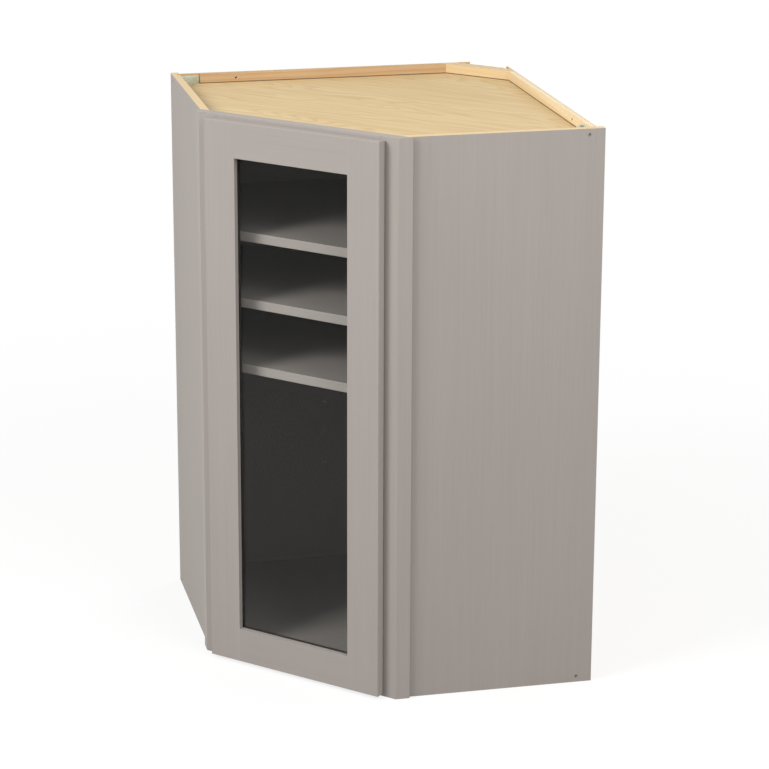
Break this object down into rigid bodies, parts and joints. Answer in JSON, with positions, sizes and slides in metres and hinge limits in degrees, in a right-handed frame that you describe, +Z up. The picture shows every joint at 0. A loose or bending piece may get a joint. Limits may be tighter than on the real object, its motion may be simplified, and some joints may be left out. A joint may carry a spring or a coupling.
{
  "type": "corner wall cabinet",
  "caption": "Corner wall cabinet with a diagonal face frame and one glazed overlay door on concealed hinges, shelves inside, open recessed top with nailers and corner braces.",
  "frame": {"origin": "centre of the overall footprint, at the underside", "axes": "+Z up; the room walls it hangs on lie at +Y and -X, and the door faces +X and -Y at 45 degrees"},
  "size_m": [0.6858, 0.6858, 1.0668],
  "materials": {
    "door_paint": "satin gray paint on wood, faint brush texture",
    "frame_paint": "satin gray paint on wood",
    "end_panel_paint": "satin gray paint outside and in, bare maple plywood edges",
    "back_panel_wood": "maple plywood, gray face towards the shelves",
    "deck_wood": "maple plywood, bare on the hidden side, gray towards the shelves",
    "shelf_paint": "gray laminate",
    "light_nailer_wood": "bare maple",
    "brown_nailer_wood": "bare brownish softwood",
    "bead_vinyl": "dark vinyl glazing bead",
    "door_glass": "clear float glass",
    "brace_plastic": "translucent whitish plastic",
    "hinge_steel": "nickel-plated steel",
    "screw_steel": "zinc-plated steel",
    "dark_screw_steel": "black phosphated steel",
    "pin_steel": "nickel-plated steel",
    "bumper_rubber": "clear soft bumper"
  },
  "bodies": {
    "cabinet": {"right_end_panel": "end_panel_paint", "left_end_panel": "end_panel_paint", "right_back_panel": "back_panel_wood", "left_back_panel": "back_panel_wood", "corner_back_board": "back_panel_wood", "bottom_panel": "deck_wood", "top_panel": "deck_wood", "bottom_right_nailer": "light_nailer_wood", "top_right_nailer": "light_nailer_wood", "bottom_corner_nailer": "light_nailer_wood", "top_corner_nailer": "light_nailer_wood", "bottom_left_nailer": "brown_nailer_wood", "top_left_nailer": "brown_nailer_wood", "frame_left_stile": "frame_paint", "frame_right_stile": "frame_paint", "frame_bottom_rail": "frame_paint", "frame_top_rail": "frame_paint", "lower_shelf": "shelf_paint", "middle_shelf": "shelf_paint", "upper_shelf": "shelf_paint", "shelf_pins": "pin_steel", "corner_braces": "brace_plastic", "brace_screws": "dark_screw_steel", "hinge_arms": "hinge_steel", "hinge_arm_screws": "screw_steel"},
    "door": {"door_hinge_stile": "door_paint", "door_latch_stile": "door_paint", "door_bottom_rail": "door_paint", "door_top_rail": "door_paint", "door_glass": "door_glass", "side_glazing_beads": "bead_vinyl", "end_glazing_beads": "bead_vinyl", "door_bumpers": "bumper_rubber", "hinge_cups": "hinge_steel", "hinge_pins": "hinge_steel", "cup_screws": "screw_steel"}
  },
  "joints": [
    {"name": "door_hinge", "type": "hinge", "parent": "cabinet", "child": "door", "pos_m": [0.07065, -0.32732, 0.5334], "axis": [0, 0, -1], "range_deg": [0, 100]}
  ]
}
